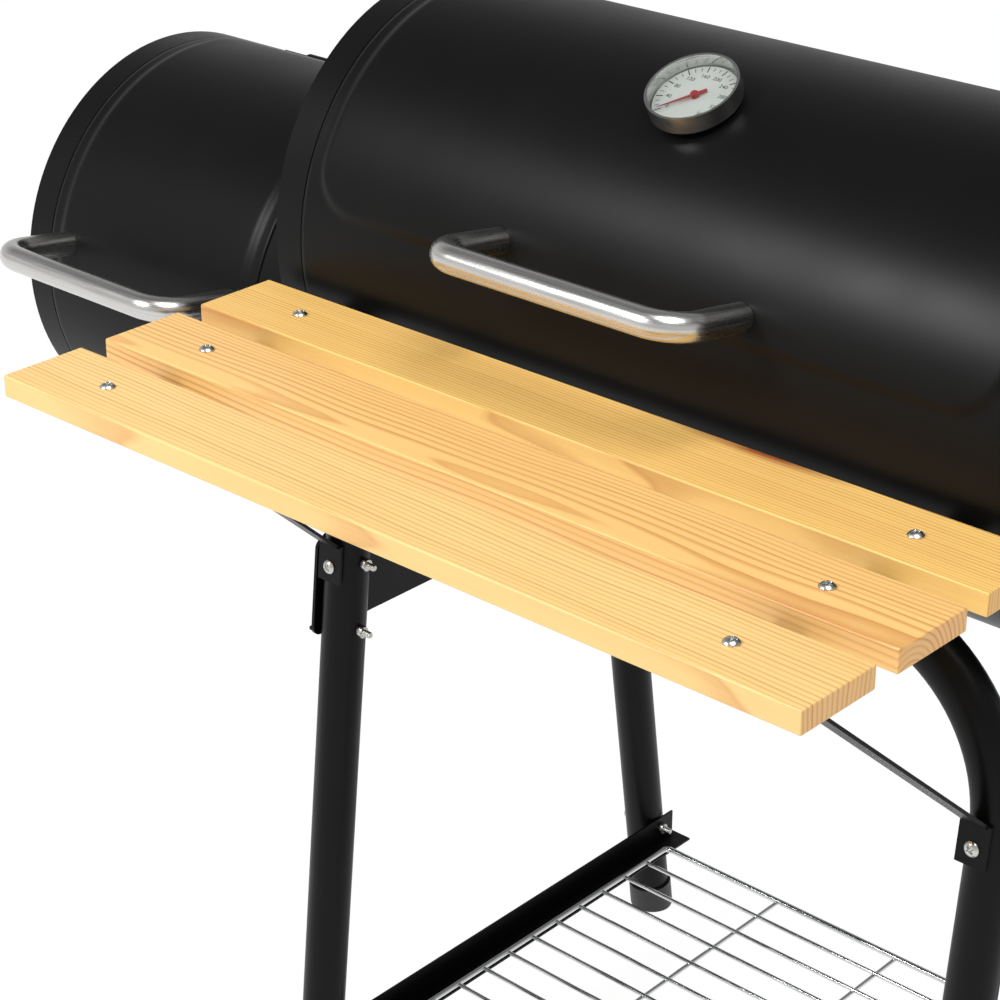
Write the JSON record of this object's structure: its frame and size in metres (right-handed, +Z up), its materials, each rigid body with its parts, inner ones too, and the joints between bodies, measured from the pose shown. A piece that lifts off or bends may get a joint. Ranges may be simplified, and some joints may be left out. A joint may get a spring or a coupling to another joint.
{
  "type": "offset smoker",
  "caption": "Charcoal offset smoker: horizontal cooking drum with side firebox, hinged lids, slatted front shelf, chimney, wheels and wire rack.",
  "frame": {"origin": "middle of the whole smoker's bounding box at the ground", "axes": "+X along the drums, from the firebox to the chimney; +Y from the shelf to the back; +Z up"},
  "size_m": [1.1864, 0.783, 1.27],
  "materials": {
    "black_steel": "satin",
    "stainless_tube": "polished",
    "zinc_steel": "satin",
    "chrome_wire": "polished",
    "gauge_steel": "polished",
    "gauge_glass": "polished",
    "needle_paint": "satin",
    "pine": "satin",
    "black_plastic": "matte",
    "black_rubber": "matte"
  },
  "bodies": {
    "smoker_frame": {"main_shell": "black_steel", "main_left_end": "black_steel", "main_right_end": "black_steel", "firebox_shell": "black_steel", "firebox_left_end": "black_steel", "firebox_right_end": "black_steel", "hinge_body_leaves": "black_steel", "chimney_elbow": "black_steel", "chimney_pipe": "black_steel", "smoke_collar": "black_steel", "left_saddle_plate": "black_steel", "rail_saddle_left": "black_steel", "rail_saddle_right": "black_steel", "front_left_leg": "black_steel", "rear_left_leg": "black_steel", "front_frame_tube": "black_steel", "rear_frame_tube": "black_steel", "shelf_bracket_left": "black_steel", "shelf_bracket_right": "black_steel", "rack_bars": "black_steel", "grate_rails": "black_steel", "shelf_strut_left": "black_steel", "shelf_strut_right": "black_steel", "hinge_pins": "zinc_steel", "chimney_cap_pin": "zinc_steel", "air_vent_rivet": "zinc_steel", "shelf_screws": "zinc_steel", "shelf_nuts": "zinc_steel", "frame_bolts": "zinc_steel", "drum_bolts": "zinc_steel", "nuts": "zinc_steel", "axle": "zinc_steel", "axle_nuts": "zinc_steel", "cooking_grate_left": "chrome_wire", "cooking_grate_middle": "chrome_wire", "cooking_grate_right": "chrome_wire", "charcoal_grate": "chrome_wire", "bottom_rack": "chrome_wire", "shelf_slat_front": "pine", "shelf_slat_middle": "pine", "shelf_slat_back": "pine", "leg_caps": "black_plastic"},
    "main_lid": {"main_lid": "black_steel", "main_handle": "stainless_tube", "main_handle_screws": "zinc_steel", "main_lid_leaves": "black_steel", "thermometer_case": "gauge_steel", "thermometer_glass": "gauge_glass", "thermometer_probe": "zinc_steel"},
    "thermometer_needle": {"thermometer_needle": "needle_paint"},
    "firebox_lid": {"firebox_lid": "black_steel", "firebox_handle": "stainless_tube", "firebox_handle_screws": "zinc_steel", "firebox_lid_leaves": "black_steel"},
    "chimney_cap": {"chimney_cap": "black_steel"},
    "air_vent": {"air_vent_disc": "black_steel"},
    "front_wheel": {"front_wheel_tyre": "black_rubber", "front_wheel_hub": "black_plastic"},
    "rear_wheel": {"rear_wheel_tyre": "black_rubber", "rear_wheel_hub": "black_plastic"}
  },
  "joints": [
    {"name": "main_lid_hinge", "type": "hinge", "parent": "smoker_frame", "child": "main_lid", "pos_m": [0.10325, 0.1983, 0.96639], "axis": [-1, 0, 0], "range_deg": [0, 105]},
    {"name": "firebox_lid_hinge", "type": "hinge", "parent": "smoker_frame", "child": "firebox_lid", "pos_m": [-0.42275, 0.19638, 0.85209], "axis": [-1, 0, 0], "range_deg": [0, 105]},
    {"name": "thermometer_needle_turn", "type": "hinge", "parent": "main_lid", "child": "thermometer_needle", "pos_m": [0.10325, -0.01444, 0.98908], "axis": [0, 0.4695, -0.8829], "range_deg": [0, 270]},
    {"name": "chimney_cap_swivel", "type": "hinge", "parent": "smoker_frame", "child": "chimney_cap", "pos_m": [0.54825, 0.12547, 1.264], "axis": [0, 0, 1], "range_deg": [0, 110]},
    {"name": "air_vent_turn", "type": "hinge", "parent": "smoker_frame", "child": "air_vent", "pos_m": [-0.58175, 0.07547, 0.646], "axis": [1, 0, 0], "range_deg": [0, 45]},
    {"name": "front_wheel_spin", "type": "hinge", "parent": "smoker_frame", "child": "front_wheel", "pos_m": [0.46225, 0.07547, 0.09], "axis": [0, 1, 0], "continuous": true},
    {"name": "rear_wheel_spin", "type": "hinge", "parent": "smoker_frame", "child": "rear_wheel", "pos_m": [0.46225, 0.07547, 0.09], "axis": [0, 1, 0], "continuous": true}
  ]
}
